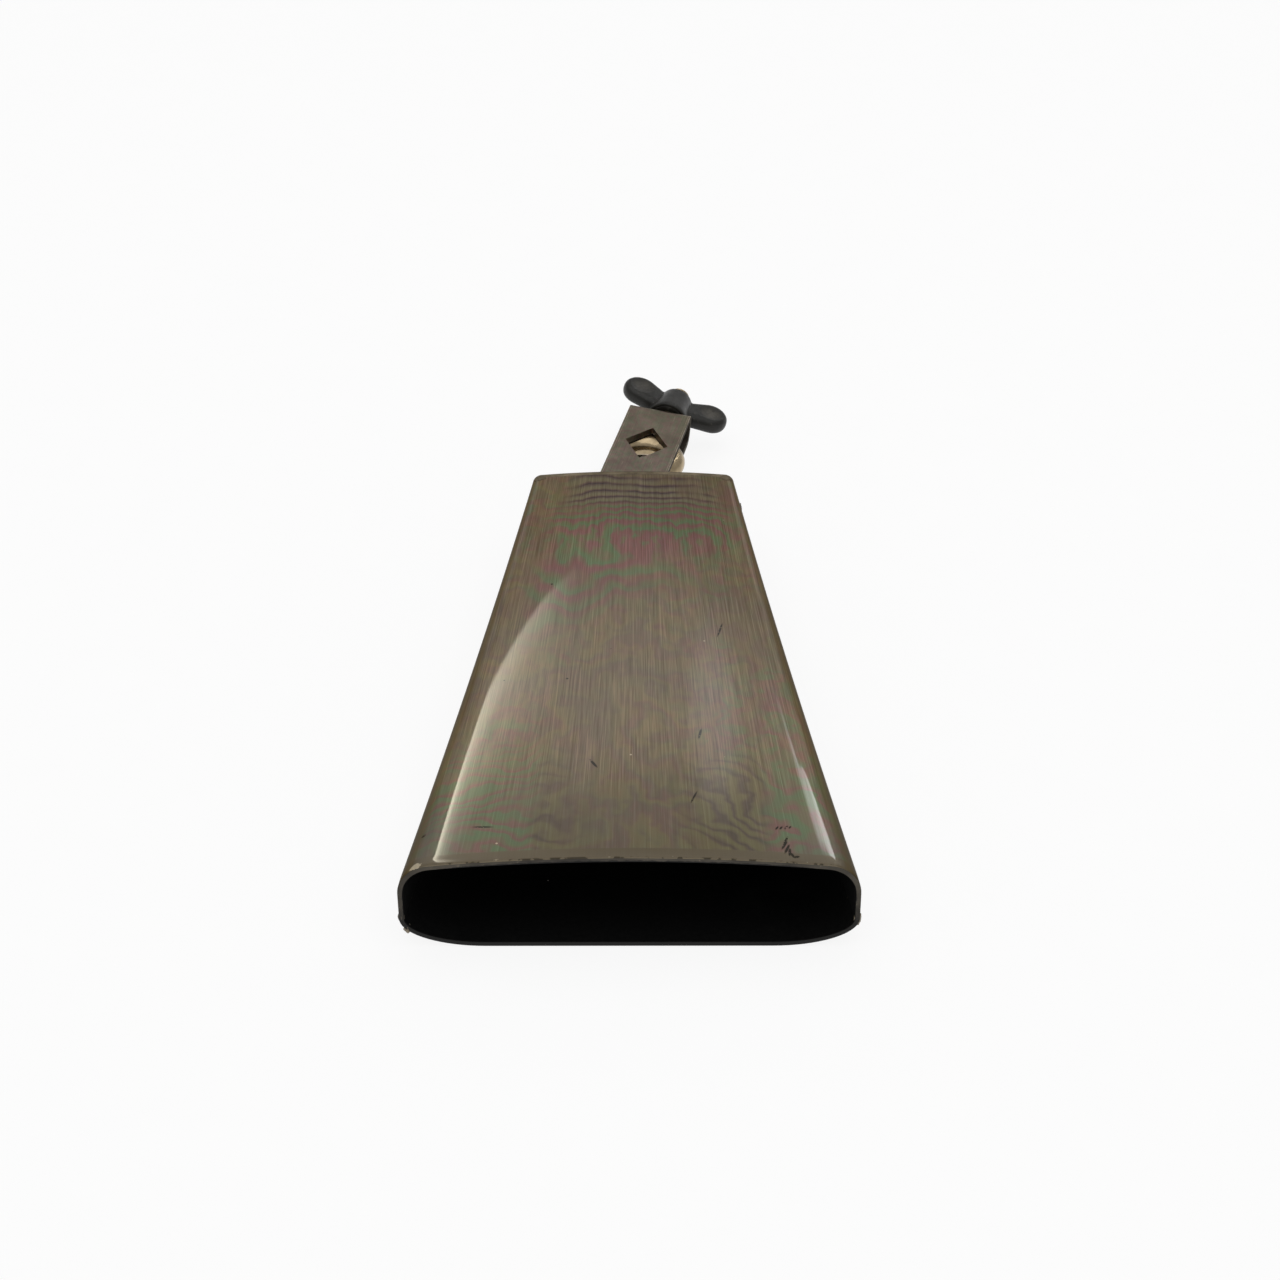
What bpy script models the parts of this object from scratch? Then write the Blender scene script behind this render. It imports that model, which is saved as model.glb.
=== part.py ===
"""A timbales cowbell: a welded two-shell bell with a folded bracket, an eye bolt and a wing nut.

Metres, +Z up. The bell rests on its flat lower face at z = 0, with its mouth towards -Y and its
closed end towards +Y. The origin is the middle of the lower face.
"""

import math

import bmesh
import bpy
from mathutils import Euler, Matrix, Vector

# Bell sizes, in metres
bell_length = 0.216
mouth_width = 0.1345
mouth_height = 0.0335
end_width = 0.0703
end_height = 0.0306
waist = 0.0009
sheet = 0.0015
mouth_crown = 0.0029
end_crown = 0.0014
mouth_shoulder = 0.0105
end_shoulder = 0.0022
mouth_lower_run = 0.025
end_lower_run = 0.012
lower_rise = 0.0106
lip_width = 0.0045
lip_inset = 0.00035
end_plate_thickness = 0.002
end_plate_edge = 0.0004

# Weld sizes
seam_height = 0.0098
seam_bead_radius = 0.001
seam_bead_proud = 0.0008
seam_ripple_pitch = 0.003
seam_ripple_depth = 0.00012
end_bead_radius = 0.00075
end_bead_proud = 0.00015
end_corner_bump = 0.0004
fillet_bead_radius = 0.0015

# Bracket sizes: the strap runs from the end plate to a far wall, with a rod hole half way
bracket_yaw = math.radians(12.4)
bracket_roll = math.radians(5.2)
bracket_foot_x = -0.0033
bracket_drop = 0.0084
strap_width = 0.0228
strap_thickness = 0.0025
strap_bend = 0.0015
strap_edge = 0.0003
hole_reach = 0.0332
far_reach = 0.0265
hole_half_width = 0.0078
hole_half_length = 0.011

# Eye bolt sizes, with the bolt a little skew and off the strap's middle, as it hangs on its rod
bolt_skew = math.radians(2.6)
bolt_offset = 0.0008
bolt_diameter = 0.008
bolt_chamfer = 0.0008
bolt_overhang = 0.004
eye_stock = 0.0075
eye_bore = 0.013
eye_rest = -0.001

# Wing nut sizes
hub_length = 0.0158
hub_base_radius = 0.0078
hub_top_radius = 0.006
hub_round = 0.0015
insert_radius = 0.006
insert_length = 0.0085
wing_tip_radius = 0.0205
wing_paddle_radius = 0.0065
wing_thickness = 0.006
wing_edge = 0.0024
wing_root_low = 0.0042
wing_root_high = 0.0146
wing_centre = 0.0128
dish_sphere_radius = 0.016
dish_depth = 0.0008
nut_rest_turn = math.radians(11.5)

# Clearances
clearance = 0.0003
shank_clearance = 0.0005

# Points closer than this are one point
merge_distance = 0.00001

# Facet counts
length_steps = 8
shoulder_steps = 7
crown_steps = 12
corner_steps = 7
bend_steps = 5
fillet_steps = 8
turn_steps = 40
stock_steps = 16
paddle_steps = 20
dish_steps = 24

# Looks, each a colour, its metal share and its roughness
bell_look = ((0.135, 0.12, 0.085), 1.0, 0.34)
plate_look = ((0.13, 0.115, 0.085), 1.0, 0.38)
weld_look = ((0.12, 0.11, 0.09), 1.0, 0.55)
bracket_look = ((0.13, 0.11, 0.085), 1.0, 0.45)
bolt_look = ((0.42, 0.33, 0.2), 1.0, 0.3)
nut_look = ((0.035, 0.035, 0.033), 0.0, 0.5)
insert_look = ((0.3, 0.28, 0.24), 1.0, 0.4)

# Places that follow from the sizes
mouth_y = -bell_length / 2
end_y = bell_length / 2
bolt_radius = bolt_diameter / 2
end_gap = 2 * (end_bead_radius + clearance)
seam_gap = 2 * (seam_bead_radius + clearance)
shell_end_y = end_y - end_plate_thickness - end_gap
bracket_height = eye_stock + 2 * clearance + 2 * strap_thickness
nut_seat = (far_reach + clearance) / math.cos(bolt_skew) + hub_base_radius * math.tan(bolt_skew)
bolt_end = nut_seat + hub_length + bolt_overhang
wing_root = bolt_radius


def clear_scene():
    for item in list(bpy.data.objects):
        bpy.data.objects.remove(item, do_unlink=True)


def new_collection(name):
    collection = bpy.data.collections.new(name)
    bpy.context.scene.collection.children.link(collection)
    return collection


clear_scene()
parts = new_collection("timbales_cowbell")
cutters = new_collection("cutters")


def new_material(name, colour, metallic, roughness):
    material = bpy.data.materials.new(name)
    material.use_nodes = True
    shader = material.node_tree.nodes["Principled BSDF"]
    shader.inputs["Base Color"].default_value = (*colour, 1.0)
    shader.inputs["Metallic"].default_value = metallic
    shader.inputs["Roughness"].default_value = roughness
    return material


def add_part(name, data, look, parent=None):
    item = bpy.data.objects.new(name, data)
    parts.objects.link(item)
    data.materials.append(new_material(name, *look))
    item.parent = parent
    return item


def add_cutter(name, data, parent=None):
    item = bpy.data.objects.new(name, data)
    cutters.objects.link(item)
    item.parent = parent
    item.hide_render = True
    item.display_type = "WIRE"
    return item


def add_empty(name, location, rotation, parent=None):
    empty = bpy.data.objects.new(name, None)
    cutters.objects.link(empty)
    empty.location = location
    empty.rotation_euler = rotation
    empty.parent = parent
    return empty


def add_boolean(item, operation, other):
    step = item.modifiers.new(other.name, "BOOLEAN")
    step.operation = operation
    step.solver = "EXACT"
    step.object = other


def add_bevel(item, width, angle=math.radians(50)):
    step = item.modifiers.new("edges", "BEVEL")
    step.width = width
    step.segments = 1
    step.limit_method = "ANGLE"
    step.angle_limit = angle


def smooth_mesh(mesh):
    mesh.shade_smooth()
    mesh.set_sharp_from_angle(angle=math.radians(40))


# Cross-sections of the bell


def between(at_mouth, at_end, y):
    share = (y - mouth_y) / bell_length
    return at_mouth + (at_end - at_mouth) * share


def half_width(y):
    """Half the bell's width, with the sides drawn in a little half way along."""
    share = (y - mouth_y) / bell_length
    return between(mouth_width, end_width, y) / 2 - waist * 4 * share * (1 - share)


def upper_outline(y, inset, low_z):
    """Points from the right wall's foot, over the crown, to the left wall's foot."""
    half = half_width(y)
    top = between(mouth_height, end_height, y)
    shoulder = between(mouth_shoulder, end_shoulder, y)
    sag = between(mouth_crown, end_crown, y)
    flat_half = half - shoulder
    crown_inner = (flat_half**2 + sag**2) / (2 * sag)
    tilt = math.asin(flat_half / crown_inner)
    shoulder_z = top - shoulder - sag
    shoulder_radius = shoulder - inset
    crown_radius = crown_inner + shoulder_radius
    crown_z = top - shoulder - crown_inner
    right = [(half - inset, low_z)]
    for step in range(shoulder_steps):
        angle = (math.pi / 2 - tilt) * step / shoulder_steps
        x = flat_half + shoulder_radius * math.cos(angle)
        right.append((x, shoulder_z + shoulder_radius * math.sin(angle)))
    crown = []
    for step in range(crown_steps + 1):
        angle = tilt - 2 * tilt * step / crown_steps
        crown.append((crown_radius * math.sin(angle), crown_z + crown_radius * math.cos(angle)))
    left = [(-x, z) for x, z in reversed(right)]
    return right + crown + left


def lower_outline(y, inset, high_z):
    """Points from the left edge, down the dished corner and over the flat, to the right edge."""
    half = half_width(y)
    run = between(mouth_lower_run, end_lower_run, y)
    flat_half = half - run
    drop = lower_rise - inset
    start = math.asin(max(lower_rise - high_z, 0.0) / drop)
    left = []
    for step in range(corner_steps + 1):
        angle = start + (math.pi / 2 - start) * step / corner_steps
        x = flat_half + (run - inset) * math.cos(angle)
        left.append((-x, lower_rise - drop * math.sin(angle)))
    right = [(-x, z) for x, z in reversed(left)]
    return left + right


def whole_outline(y, inset):
    """The closed section, with the wall's foot points shared by both halves."""
    upper = upper_outline(y, inset, lower_rise)
    lower = lower_outline(y, inset, lower_rise)
    return upper + lower[1:-1]


# Bell pieces


def shell_stations():
    """Where the shells have a section: the mouth's lip, then even steps to the closed end."""
    lip_y = mouth_y + lip_width
    stations = [(mouth_y, lip_inset)]
    for step in range(length_steps + 1):
        stations.append((lip_y + (shell_end_y - lip_y) * step / length_steps, 0.0))
    return stations


def add_shell(name, rows):
    """An open loft through the rows, thickened inwards to the sheet."""
    form = bmesh.new()
    lines = [[form.verts.new(point) for point in row] for row in rows]
    for near, far in zip(lines, lines[1:]):
        for index in range(len(near) - 1):
            form.faces.new((near[index], far[index], far[index + 1], near[index + 1]))
    mesh = bpy.data.meshes.new(name)
    form.to_mesh(mesh)
    form.free()
    smooth_mesh(mesh)
    shell = add_part(name, mesh, bell_look)
    thicken = shell.modifiers.new("sheet", "SOLIDIFY")
    thicken.thickness = sheet
    thicken.offset = -1.0
    thicken.use_even_offset = True
    return shell


def add_shells():
    upper_rows = []
    lower_rows = []
    for y, inset in shell_stations():
        upper = upper_outline(y, inset, seam_height + seam_gap / 2)
        lower = lower_outline(y, inset, seam_height - seam_gap / 2)
        upper_rows.append([(x, y, z) for x, z in upper])
        lower_rows.append([(x, y, z) for x, z in lower])
    add_shell("upper_shell", upper_rows)
    add_shell("lower_shell", lower_rows)


def outline_curve(name, points, depth):
    """A filled flat outline with the given depth, in the curve's own XY plane."""
    curve = bpy.data.curves.new(name, "CURVE")
    curve.dimensions = "2D"
    curve.fill_mode = "BOTH"
    curve.extrude = depth / 2
    spline = curve.splines.new("POLY")
    spline.points.add(len(points) - 1)
    spline.use_cyclic_u = True
    for point, (x, y) in zip(spline.points, points):
        point.co = (x, y, 0.0, 1.0)
    return curve


def tube_curve(name, path, radius, sides_step, closed=False, scales=None):
    """A round bar along a path of points."""
    curve = bpy.data.curves.new(name, "CURVE")
    curve.dimensions = "3D"
    curve.bevel_depth = radius
    curve.bevel_resolution = sides_step
    curve.use_fill_caps = True
    spline = curve.splines.new("POLY")
    spline.points.add(len(path) - 1)
    spline.use_cyclic_u = closed
    for index, point in enumerate(path):
        spline.points[index].co = (*point, 1.0)
        spline.points[index].radius = scales[index] if scales else 1.0
    return curve


def add_end_plate():
    curve = outline_curve("end_plate", whole_outline(end_y, 0.0), end_plate_thickness)
    plate = add_part("end_plate", curve, plate_look)
    plate.location.y = end_y - end_plate_thickness / 2
    plate.rotation_euler.x = math.pi / 2
    weld = plate.modifiers.new("caps", "WELD")
    weld.merge_threshold = merge_distance
    add_bevel(plate, end_plate_edge)


def add_seam_weld(name, side):
    """A rippled bead along one side, from the mouth to just short of the end weld."""
    first_y = mouth_y + clearance
    last_y = shell_end_y - clearance
    steps = round((last_y - first_y) / seam_ripple_pitch)
    path = []
    scales = []
    for step in range(steps + 1):
        y = first_y + (last_y - first_y) * step / steps
        x = half_width(y) + seam_bead_proud - seam_bead_radius
        path.append((side * x, y, seam_height))
        scales.append(1.0 - (step % 2) * seam_ripple_depth / seam_bead_radius)
    curve = tube_curve(name, path, seam_bead_radius, 1, scales=scales)
    add_part(name, curve, weld_look)


def add_end_weld():
    """A ground bead round the closed end, with a bump left at each upper corner."""
    y = end_y - end_plate_thickness - end_gap / 2
    inset = end_bead_radius - end_bead_proud
    low = whole_outline(y, inset)
    high = whole_outline(y, inset - end_corner_bump)
    corner = 1 + shoulder_steps
    right_middle = corner / 2
    left_middle = corner + crown_steps + 1 + corner / 2 - 0.5
    path = []
    for index, (point, raised) in enumerate(zip(low, high)):
        away = min(abs(index - right_middle), abs(index - left_middle)) / (corner / 2)
        share = max(1.0 - away, 0.0)
        x = point[0] + (raised[0] - point[0]) * share
        z = point[1] + (raised[1] - point[1]) * share
        path.append((x, y, z))
    curve = tube_curve("end_seam_weld", path, end_bead_radius, 1, closed=True)
    add_part("end_seam_weld", curve, weld_look)


# Bracket pieces


def add_bracket_frame():
    """The bracket's own frame: origin under the rod hole's middle on the bolt's axis, +Y outwards."""
    location = (
        bracket_foot_x + hole_reach * math.tan(bracket_yaw),
        end_y + hole_reach,
        end_height - bracket_drop - bracket_height / 2,
    )
    return add_empty("bracket_frame", location, (0.0, bracket_roll, -bracket_yaw))


def add_bolt_frame(frame):
    """The bolt's own frame: origin under the rod hole's middle, +Y along the shank."""
    return add_empty("bolt_frame", (bolt_offset, 0.0, 0.0), (0.0, 0.0, -bolt_skew), frame)


def seat_y(frame_matrix, x, z, standoff):
    """The frame's y at which a point with this x and z stands off the end plate by this much."""
    row = frame_matrix[1]
    return (end_y + standoff - row[3] - row[0] * x - row[2] * z) / row[1]


def mesh_from_curve(name, curve, rotation):
    """A curve's solid as a welded mesh, turned by the given rotation."""
    source = bpy.data.objects.new(name, curve)
    cutters.objects.link(source)
    evaluated = source.evaluated_get(bpy.context.evaluated_depsgraph_get())
    mesh = bpy.data.meshes.new_from_object(evaluated)
    bpy.data.objects.remove(source, do_unlink=True)
    form = bmesh.new()
    form.from_mesh(mesh)
    bmesh.ops.remove_doubles(form, verts=form.verts, dist=merge_distance)
    bmesh.ops.transform(form, matrix=rotation.to_matrix().to_4x4(), verts=form.verts)
    form.to_mesh(mesh)
    form.free()
    mesh.name = name
    return mesh


def arc(centre, radius, first, last, steps=bend_steps):
    points = []
    for step in range(steps + 1):
        angle = first + (last - first) * step / steps
        points.append((centre[0] + radius * math.cos(angle), centre[1] + radius * math.sin(angle)))
    return points


def strap_outline(tail):
    """The folded strap seen from its side: along the frame's y, then up its z."""
    half = bracket_height / 2
    outer = strap_bend + strap_thickness
    bend_y = far_reach - outer
    bend_z = half - outer
    quarter = math.pi / 2
    upper_bend = (bend_y, bend_z)
    lower_bend = (bend_y, -bend_z)
    outside = arc(upper_bend, outer, quarter, 0.0) + arc(lower_bend, outer, 0.0, -quarter)
    inside = arc(lower_bend, strap_bend, -quarter, 0.0) + arc(upper_bend, strap_bend, 0.0, quarter)
    inner_half = half - strap_thickness
    lower_end = [(-tail, -half), (-tail, -inner_half)]
    upper_end = [(-tail, inner_half), (-tail, half)]
    return outside + lower_end + inside + upper_end


def prism_mesh(name, segments, half_x, half_y, depth, matrix=None):
    form = bmesh.new()
    bmesh.ops.create_cone(
        form, cap_ends=True, segments=segments, radius1=1.0, radius2=1.0, depth=depth
    )
    bmesh.ops.scale(form, vec=(half_x, half_y, 1.0), verts=form.verts)
    if matrix:
        bmesh.ops.transform(form, matrix=matrix, verts=form.verts)
    mesh = bpy.data.meshes.new(name)
    form.to_mesh(mesh)
    form.free()
    return mesh


def add_bracket(frame, bolt_frame):
    """The strap, its mitred ends, the diamond rod holes and the bolt's hole."""
    tail = hole_reach + strap_width
    curve = outline_curve("strap", strap_outline(tail), strap_width)
    mesh = mesh_from_curve("mounting_bracket", curve, Euler((math.pi / 2, 0.0, math.pi / 2)))
    bracket = add_part("mounting_bracket", mesh, bracket_look, frame)
    add_bevel(bracket, strap_edge)
    reach = 2 * bracket_height
    diamond = prism_mesh("rod_hole", 4, hole_half_width, hole_half_length, reach)
    add_boolean(bracket, "DIFFERENCE", add_cutter("rod_hole", diamond, frame))
    bore_radius = bolt_radius + shank_clearance
    along_y = Euler((-math.pi / 2, 0.0, 0.0)).to_matrix().to_4x4()
    place = Matrix.Translation((0.0, far_reach, 0.0)) @ along_y
    bore = prism_mesh("bolt_hole", turn_steps, bore_radius, bore_radius, 4 * strap_thickness, place)
    add_boolean(bracket, "DIFFERENCE", add_cutter("bolt_hole", bore, bolt_frame))
    form = bmesh.new()
    bmesh.ops.create_cube(form, size=bell_length)
    mitre = bpy.data.meshes.new("end_mitre")
    form.to_mesh(mitre)
    form.free()
    mitre_box = add_cutter("end_mitre", mitre)
    mitre_box.location.y = end_y + clearance - bell_length / 2
    add_boolean(bracket, "DIFFERENCE", mitre_box)


def add_fillet_weld(name, frame, frame_matrix, side):
    """A bead in the corner between the strap's outer face and the end plate."""
    standoff = fillet_bead_radius + clearance
    z = side * (bracket_height / 2 + standoff)
    half = strap_width / 2 - fillet_bead_radius
    path = []
    scales = []
    for step in range(fillet_steps + 1):
        x = -half + 2 * half * step / fillet_steps
        path.append((x, seat_y(frame_matrix, x, z, standoff), z))
        scales.append(1.0 - (step % 2) * seam_ripple_depth / fillet_bead_radius)
    curve = tube_curve(name, path, fillet_bead_radius, 2, scales=scales)
    add_part(name, curve, weld_look, frame)


# Turned pieces


def turned_mesh(name, profile, closed):
    """A profile of radius and height points as edges, ready for a Screw modifier."""
    mesh = bpy.data.meshes.new(name)
    points = [(radius, 0.0, height) for radius, height in profile]
    edges = [(index, index + 1) for index in range(len(points) - 1)]
    if closed:
        edges.append((len(points) - 1, 0))
    mesh.from_pydata(points, edges, [])
    return mesh


def add_screw(item):
    spin = item.modifiers.new("turn", "SCREW")
    spin.axis = "Z"
    spin.angle = 2 * math.pi
    spin.screw_offset = 0.0
    spin.steps = turn_steps
    spin.render_steps = turn_steps
    spin.use_merge_vertices = True
    spin.merge_threshold = merge_distance
    spin.use_smooth_shade = True


def add_eye_bolt(frame):
    """An eye of round stock with a straight shank, its origin at the eye's middle."""
    stock_radius = eye_stock / 2
    ring_radius = eye_bore / 2 + stock_radius
    profile = []
    for step in range(stock_steps):
        angle = math.pi / 2 - 2 * math.pi * step / stock_steps
        profile.append((ring_radius + stock_radius * math.cos(angle), stock_radius * math.sin(angle)))
    eye = add_part("eye_bolt", turned_mesh("eye_bolt", profile, True), bolt_look, frame)
    eye.location.y = eye_rest
    add_screw(eye)
    length = bolt_end - eye_rest
    shank_profile = [
        (0.0, length),
        (bolt_radius - bolt_chamfer, length),
        (bolt_radius, length - bolt_chamfer),
        (bolt_radius, ring_radius),
        (0.0, ring_radius),
    ]
    shank = add_cutter("shank", turned_mesh("shank", shank_profile, False), eye)
    shank.rotation_euler.x = -math.pi / 2
    add_screw(shank)
    add_boolean(eye, "UNION", shank)


# Wing nut


def tangent_angle(centre, root, side):
    """Where on the paddle's circle a straight flank from the root touches it."""
    away = root - centre
    return math.atan2(away.y, away.x) + side * math.acos(wing_paddle_radius / away.length)


def paddle_outline():
    """One wing from the hub outwards: straight flanks that run into a round paddle."""
    centre = Vector((wing_tip_radius - wing_paddle_radius, wing_centre))
    lower_root = Vector((wing_root, wing_root_low))
    upper_root = Vector((wing_root, wing_root_high))
    first = tangent_angle(centre, upper_root, -1)
    last = tangent_angle(centre, lower_root, 1)
    round_end = arc(centre, wing_paddle_radius, first, last, paddle_steps)
    return round_end + [tuple(lower_root), tuple(upper_root)]


def add_wing(name, pivot, turn):
    """A pebble-edged wing with a thumb dish in each face, for joining to the hub."""
    curve = outline_curve(name, paddle_outline(), wing_thickness - 2 * wing_edge)
    curve.bevel_depth = wing_edge
    curve.bevel_resolution = 2
    curve.offset = -wing_edge
    wing = add_cutter(name, mesh_from_curve(name, curve, Euler((math.pi / 2, 0.0, 0.0))), pivot)
    wing.rotation_euler.z = turn
    for side in (-1, 1):
        form = bmesh.new()
        bmesh.ops.create_uvsphere(
            form, u_segments=2 * dish_steps, v_segments=dish_steps, radius=dish_sphere_radius
        )
        dish = bpy.data.meshes.new(name + "_dish")
        form.to_mesh(dish)
        form.free()
        cut = add_cutter(name + "_dish", dish, wing)
        cut.location.x = wing_tip_radius - wing_paddle_radius
        cut.location.y = side * (wing_thickness / 2 + dish_sphere_radius - dish_depth)
        cut.location.z = wing_centre
        add_boolean(wing, "DIFFERENCE", cut)
    return wing


def add_wing_nut(frame):
    """A tapered hub with two wings on the bolt's axis, and the threaded bush inside it."""
    pivot = add_empty("wing_nut_pivot", (0.0, nut_seat, 0.0), (-math.pi / 2, 0.0, 0.0), frame)
    profile = [(0.0, hub_length)]
    profile += arc((hub_top_radius - hub_round, hub_length - hub_round), hub_round, math.pi / 2, 0.0)
    profile += [(hub_base_radius, hub_round), (hub_base_radius, 0.0), (0.0, 0.0)]
    hub = turned_mesh("wing_nut", profile, False)
    nut = add_part("wing_nut", hub, nut_look, pivot)
    nut.rotation_euler.z = nut_rest_turn
    add_screw(nut)
    add_boolean(nut, "UNION", add_wing("right_wing", pivot, nut_rest_turn))
    add_boolean(nut, "UNION", add_wing("left_wing", pivot, nut_rest_turn + math.pi))
    bore = bolt_radius + shank_clearance
    pocket = insert_radius + clearance
    pocket_end = insert_length + clearance
    hollow_profile = [
        (0.0, 2 * hub_length),
        (bore, 2 * hub_length),
        (bore, pocket_end),
        (pocket, pocket_end),
        (pocket, -hub_length),
        (0.0, -hub_length),
    ]
    hollow = add_cutter("nut_hollow", turned_mesh("nut_hollow", hollow_profile, False), pivot)
    add_screw(hollow)
    add_boolean(nut, "DIFFERENCE", hollow)
    thread = bolt_radius + clearance
    bush = [
        (insert_radius, insert_length),
        (insert_radius, 0.0),
        (thread, 0.0),
        (thread, insert_length),
    ]
    insert = add_part("wing_nut_insert", turned_mesh("wing_nut_insert", bush, True), insert_look, pivot)
    add_screw(insert)


add_shells()
add_end_plate()
add_seam_weld("left_seam_weld", -1)
add_seam_weld("right_seam_weld", 1)
add_end_weld()
bracket_frame = add_bracket_frame()
bolt_frame = add_bolt_frame(bracket_frame)
bpy.context.view_layer.update()
add_bracket(bracket_frame, bolt_frame)
add_fillet_weld("bracket_weld_upper", bracket_frame, bracket_frame.matrix_world, 1)
add_fillet_weld("bracket_weld_lower", bracket_frame, bracket_frame.matrix_world, -1)
add_eye_bolt(bolt_frame)
add_wing_nut(bolt_frame)
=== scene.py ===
"""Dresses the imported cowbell: lacquered brushed shells, lumpy welds, bracket, eye bolt and wing nut."""

from math import asin, atan2, cos, e, pi, radians, sin, tan

import bmesh
import bpy
from mathutils import Euler, Matrix, Vector, noise


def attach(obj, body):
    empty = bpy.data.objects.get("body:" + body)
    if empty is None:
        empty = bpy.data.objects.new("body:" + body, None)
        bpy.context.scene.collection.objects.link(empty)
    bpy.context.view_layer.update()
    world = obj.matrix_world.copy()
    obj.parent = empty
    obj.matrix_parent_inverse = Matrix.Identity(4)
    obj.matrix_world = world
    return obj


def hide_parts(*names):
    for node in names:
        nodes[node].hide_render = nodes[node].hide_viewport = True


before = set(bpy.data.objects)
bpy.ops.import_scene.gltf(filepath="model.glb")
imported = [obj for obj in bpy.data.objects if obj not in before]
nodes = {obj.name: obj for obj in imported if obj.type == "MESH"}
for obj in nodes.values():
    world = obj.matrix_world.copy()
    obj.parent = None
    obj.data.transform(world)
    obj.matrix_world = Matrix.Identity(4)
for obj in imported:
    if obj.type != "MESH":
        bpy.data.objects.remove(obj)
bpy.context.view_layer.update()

# Bell sizes in metres, as in the part's source except for the edges, end_shoulder and lip_inset
bell_length = 0.216
mouth_width = 0.1345
mouth_height = 0.0335
end_width = 0.0703
end_height = 0.0306
waist = 0.0009
sheet = 0.0015
sheet_edge = 0.00018
mouth_crown = 0.0029
end_crown = 0.0014
mouth_shoulder = 0.0105
end_shoulder = 0.0034
mouth_lower_run = 0.025
end_lower_run = 0.012
lower_rise = 0.0106
lip_width = 0.0045
lip_inset = 0.00014
end_plate_thickness = 0.002
end_plate_edge = 0.0003

# Weld sizes, with the lumps as shares of a bead's radius
seam_height = 0.0098
seam_start = 0.0007
seam_bead_radius = 0.001
seam_bead_proud = 0.0006
seam_ripple = 0.0014
seam_lumps = 0.22
end_bead_radius = 0.0008
end_bead_inset = 0.00012
end_bead_setback = 0.0003
end_ripple = 0.002
end_lumps = 0.1
fillet_bead_radius = 0.0015
fillet_offset = 0.00105
fillet_end_gap = 0.0009
fillet_ripple = 0.0022
fillet_lumps = 0.2

# Bracket sizes
bracket_yaw = radians(12.4)
bracket_roll = radians(5.2)
bracket_foot_x = -0.0033
bracket_drop = 0.0084
bracket_height = 0.0131
strap_width = 0.0228
strap_thickness = 0.0025
strap_bend = 0.0015
strap_edge = 0.00035
mitre_gap = 0.00005
hole_reach = 0.0332
far_reach = 0.0265
hole_half_width = 0.0078
hole_half_length = 0.011
hole_corner = 0.0004
bolt_hole_radius = 0.0045

# Eye bolt and wing nut sizes
bolt_skew = radians(2.6)
bolt_offset = 0.0008
bolt_radius = 0.004
bolt_end = 0.04698
thread_start = 0.0014
thread_end_gap = 0.00005
thread_pitch = 0.00125
thread_depth = 0.00072
thread_chamfer = 0.0009
eye_stock = 0.0075
eye_bore = 0.013
eye_rest = -0.001
neck_length = 0.003
nut_seat = 0.02718
bush_recess = 0.0012
bush_radius = 0.006
bush_edge = 0.0003
dish_reach = 0.014
dish_height = 0.0128

# Places that follow from the sizes
mouth_y = -bell_length / 2
end_y = bell_length / 2
plate_y = end_y - end_plate_thickness
lip_y = mouth_y + lip_width

# How fine the visible forms are
length_rows = 84
lip_rows = 8
wall_steps = 5
shoulder_steps = 14
crown_steps = 44
corner_steps = 16
end_edge_steps = 4
fillet_steps = 48
eye_steps = 72
eye_sides = 28
thread_rows_per_turn = 10
thread_sides = 40
eye_voxel = 0.0003
nut_voxel = 0.00028

# Brightness of the room round the bell
world_level = 0.5

# Camera: lens in millimetres, place in metres, turns in degrees
camera_lens = 78.75
camera_place = (0.00784, -0.72864, 0.54421)
camera_turns = ((0.39678, "Z"), (55, "X"), (-0.3194, "Z"))

z_to_y = Matrix.Rotation(-pi / 2, 4, "X")
bracket_place = Matrix.Translation((
    bracket_foot_x + hole_reach * tan(bracket_yaw),
    end_y + hole_reach,
    end_height - bracket_drop - bracket_height / 2,
)) @ Euler((0, bracket_roll, -bracket_yaw)).to_matrix().to_4x4()
bolt_place = bracket_place @ Matrix.Translation((bolt_offset, 0, 0))
bolt_place = bolt_place @ Matrix.Rotation(-bolt_skew, 4, "Z")
eye_place = bolt_place @ Matrix.Translation((0, eye_rest, 0))
nut_place = bolt_place @ Matrix.Translation((0, nut_seat, 0)) @ z_to_y


# Materials


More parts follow.
